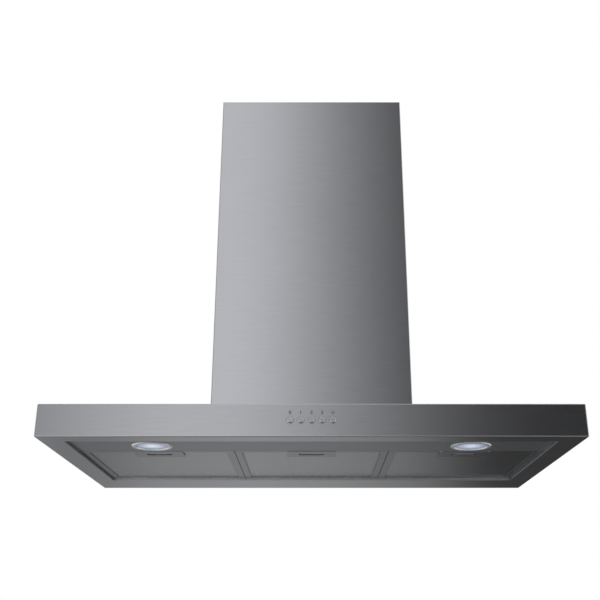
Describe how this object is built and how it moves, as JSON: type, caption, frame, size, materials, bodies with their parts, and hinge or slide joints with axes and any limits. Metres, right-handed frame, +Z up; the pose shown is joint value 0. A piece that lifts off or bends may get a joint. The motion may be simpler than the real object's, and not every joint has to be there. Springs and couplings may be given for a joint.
{
  "type": "wall mount range hood",
  "caption": "Low box-shaped wall range hood with telescopic chimney, push buttons, two lamps and tilting mesh filters.",
  "frame": {"origin": "on the wall plane, on the centre line, level with the underside of the canopy", "axes": "+X along the width to the right as seen from the room, +Y into the wall, +Z up"},
  "size_m": [0.9, 0.5235, 0.795],
  "materials": {
    "brushed_stainless": "horizontal grain, satin",
    "tray_steel": "satin stainless",
    "filter_aluminium": "satin",
    "filter_mesh": "expanded mesh",
    "handle_steel": "satin",
    "latch_steel": "satin",
    "bezel_chrome": "polished",
    "reflector": "faceted bright aluminium",
    "lamp_glass": "clear",
    "lamp_ceramic": "matt",
    "spring_steel": "bright",
    "white_plastic": "fine grain",
    "button_steel": "satin chrome",
    "black_plastic": "fine grain",
    "grey_plastic": "fine grain",
    "zinc_steel": "zinc-coated",
    "motor_paint": "satin paint",
    "shaft_steel": "ground"
  },
  "bodies": {
    "hood": {"blower_half_left": "grey_plastic", "blower_half_right": "grey_plastic", "cable_gland": "black_plastic", "canopy_panel": "brushed_stainless", "canopy_shell": "brushed_stainless", "capacitor": "white_plastic", "chimney_clip_left": "zinc_steel", "chimney_clip_right": "zinc_steel", "chimney_lower": "brushed_stainless", "filter_bar_left": "tray_steel", "filter_bar_right": "tray_steel", "lamp_bezel_left": "bezel_chrome", "lamp_bezel_right": "bezel_chrome", "lamp_bulb_left": "lamp_glass", "lamp_bulb_right": "lamp_glass", "lamp_clips_left": "spring_steel", "lamp_clips_right": "spring_steel", "lamp_holder_left": "lamp_ceramic", "lamp_holder_right": "lamp_ceramic", "lamp_lens_left": "lamp_glass", "lamp_lens_right": "lamp_glass", "lamp_reflector_left": "reflector", "lamp_reflector_right": "reflector", "lamp_transformer": "white_plastic", "motor": "motor_paint", "motor_box": "zinc_steel", "motor_bracket": "zinc_steel", "outlet_collar": "black_plastic", "sheet_screws": "zinc_steel", "switch_body": "black_plastic", "switch_studs": "zinc_steel", "terminal_block": "white_plastic", "underside_tray": "tray_steel", "wall_rail": "zinc_steel", "wiring_box": "grey_plastic", "wiring_lid": "grey_plastic"},
    "button_1": {"button_1": "button_steel"},
    "button_2": {"button_2": "button_steel"},
    "button_3": {"button_3": "button_steel"},
    "button_4": {"button_4": "button_steel"},
    "button_5": {"button_5": "button_steel"},
    "filter_left": {"filter_frame_left": "filter_aluminium", "filter_mesh_left": "filter_mesh", "filter_handle_left": "handle_steel"},
    "latch_left": {"filter_latch_left": "latch_steel"},
    "filter_centre": {"filter_frame_centre": "filter_aluminium", "filter_mesh_centre": "filter_mesh", "filter_handle_centre": "handle_steel"},
    "latch_centre": {"filter_latch_centre": "latch_steel"},
    "filter_right": {"filter_frame_right": "filter_aluminium", "filter_mesh_right": "filter_mesh", "filter_handle_right": "handle_steel"},
    "latch_right": {"filter_latch_right": "latch_steel"},
    "fan": {"impeller": "black_plastic", "motor_shaft": "shaft_steel"},
    "flap_front": {"damper_flap_front": "grey_plastic"},
    "flap_rear": {"damper_flap_rear": "grey_plastic"},
    "chimney_top": {"chimney_upper": "brushed_stainless", "chimney_bracket": "zinc_steel"}
  },
  "joints": [
    {"name": "button_1_press", "type": "slide", "parent": "hood", "child": "button_1", "axis": [0, 1, 0], "range_m": [0, 0.003], "stiffness_N_per_m": 500, "springref_m": -0.001},
    {"name": "button_2_press", "type": "slide", "parent": "hood", "child": "button_2", "axis": [0, 1, 0], "range_m": [0, 0.003], "stiffness_N_per_m": 500, "springref_m": -0.001},
    {"name": "button_3_press", "type": "slide", "parent": "hood", "child": "button_3", "axis": [0, 1, 0], "range_m": [0, 0.003], "stiffness_N_per_m": 500, "springref_m": -0.001},
    {"name": "button_4_press", "type": "slide", "parent": "hood", "child": "button_4", "axis": [0, 1, 0], "range_m": [0, 0.003], "stiffness_N_per_m": 500, "springref_m": -0.001},
    {"name": "button_5_press", "type": "slide", "parent": "hood", "child": "button_5", "axis": [0, 1, 0], "range_m": [0, 0.003], "stiffness_N_per_m": 500, "springref_m": -0.001},
    {"name": "filter_left_tilt", "type": "hinge", "parent": "hood", "child": "filter_left", "pos_m": [-0.27293, -0.0987, 0.0054], "axis": [1, 0, 0], "range_deg": [0, 75]},
    {"name": "latch_left_draw", "type": "slide", "parent": "filter_left", "child": "latch_left", "axis": [0, 1, 0], "range_m": [0, 0.006], "stiffness_N_per_m": 300, "springref_m": -0.002},
    {"name": "filter_centre_tilt", "type": "hinge", "parent": "hood", "child": "filter_centre", "pos_m": [0, -0.0987, 0.0054], "axis": [1, 0, 0], "range_deg": [0, 75]},
    {"name": "latch_centre_draw", "type": "slide", "parent": "filter_centre", "child": "latch_centre", "axis": [0, 1, 0], "range_m": [0, 0.006], "stiffness_N_per_m": 300, "springref_m": -0.002},
    {"name": "filter_right_tilt", "type": "hinge", "parent": "hood", "child": "filter_right", "pos_m": [0.27293, -0.0987, 0.0054], "axis": [1, 0, 0], "range_deg": [0, 75]},
    {"name": "latch_right_draw", "type": "slide", "parent": "filter_right", "child": "latch_right", "axis": [0, 1, 0], "range_m": [0, 0.006], "stiffness_N_per_m": 300, "springref_m": -0.002},
    {"name": "fan_spin", "type": "hinge", "parent": "hood", "child": "fan", "pos_m": [0, -0.172, 0.198], "axis": [1, 0, 0], "continuous": true},
    {"name": "flap_rear_swing", "type": "hinge", "parent": "hood", "child": "flap_rear", "pos_m": [0, -0.0955, 0.3375], "axis": [1, 0, 0], "range_deg": [0, 80]},
    {"name": "flap_front_swing", "type": "hinge", "parent": "hood", "child": "flap_front", "pos_m": [0, -0.1045, 0.3375], "axis": [-1, 0, 0], "range_deg": [0, 80]},
    {"name": "chimney_slide", "type": "slide", "parent": "hood", "child": "chimney_top", "axis": [0, 0, 1], "range_m": [0, 0.5]}
  ]
}
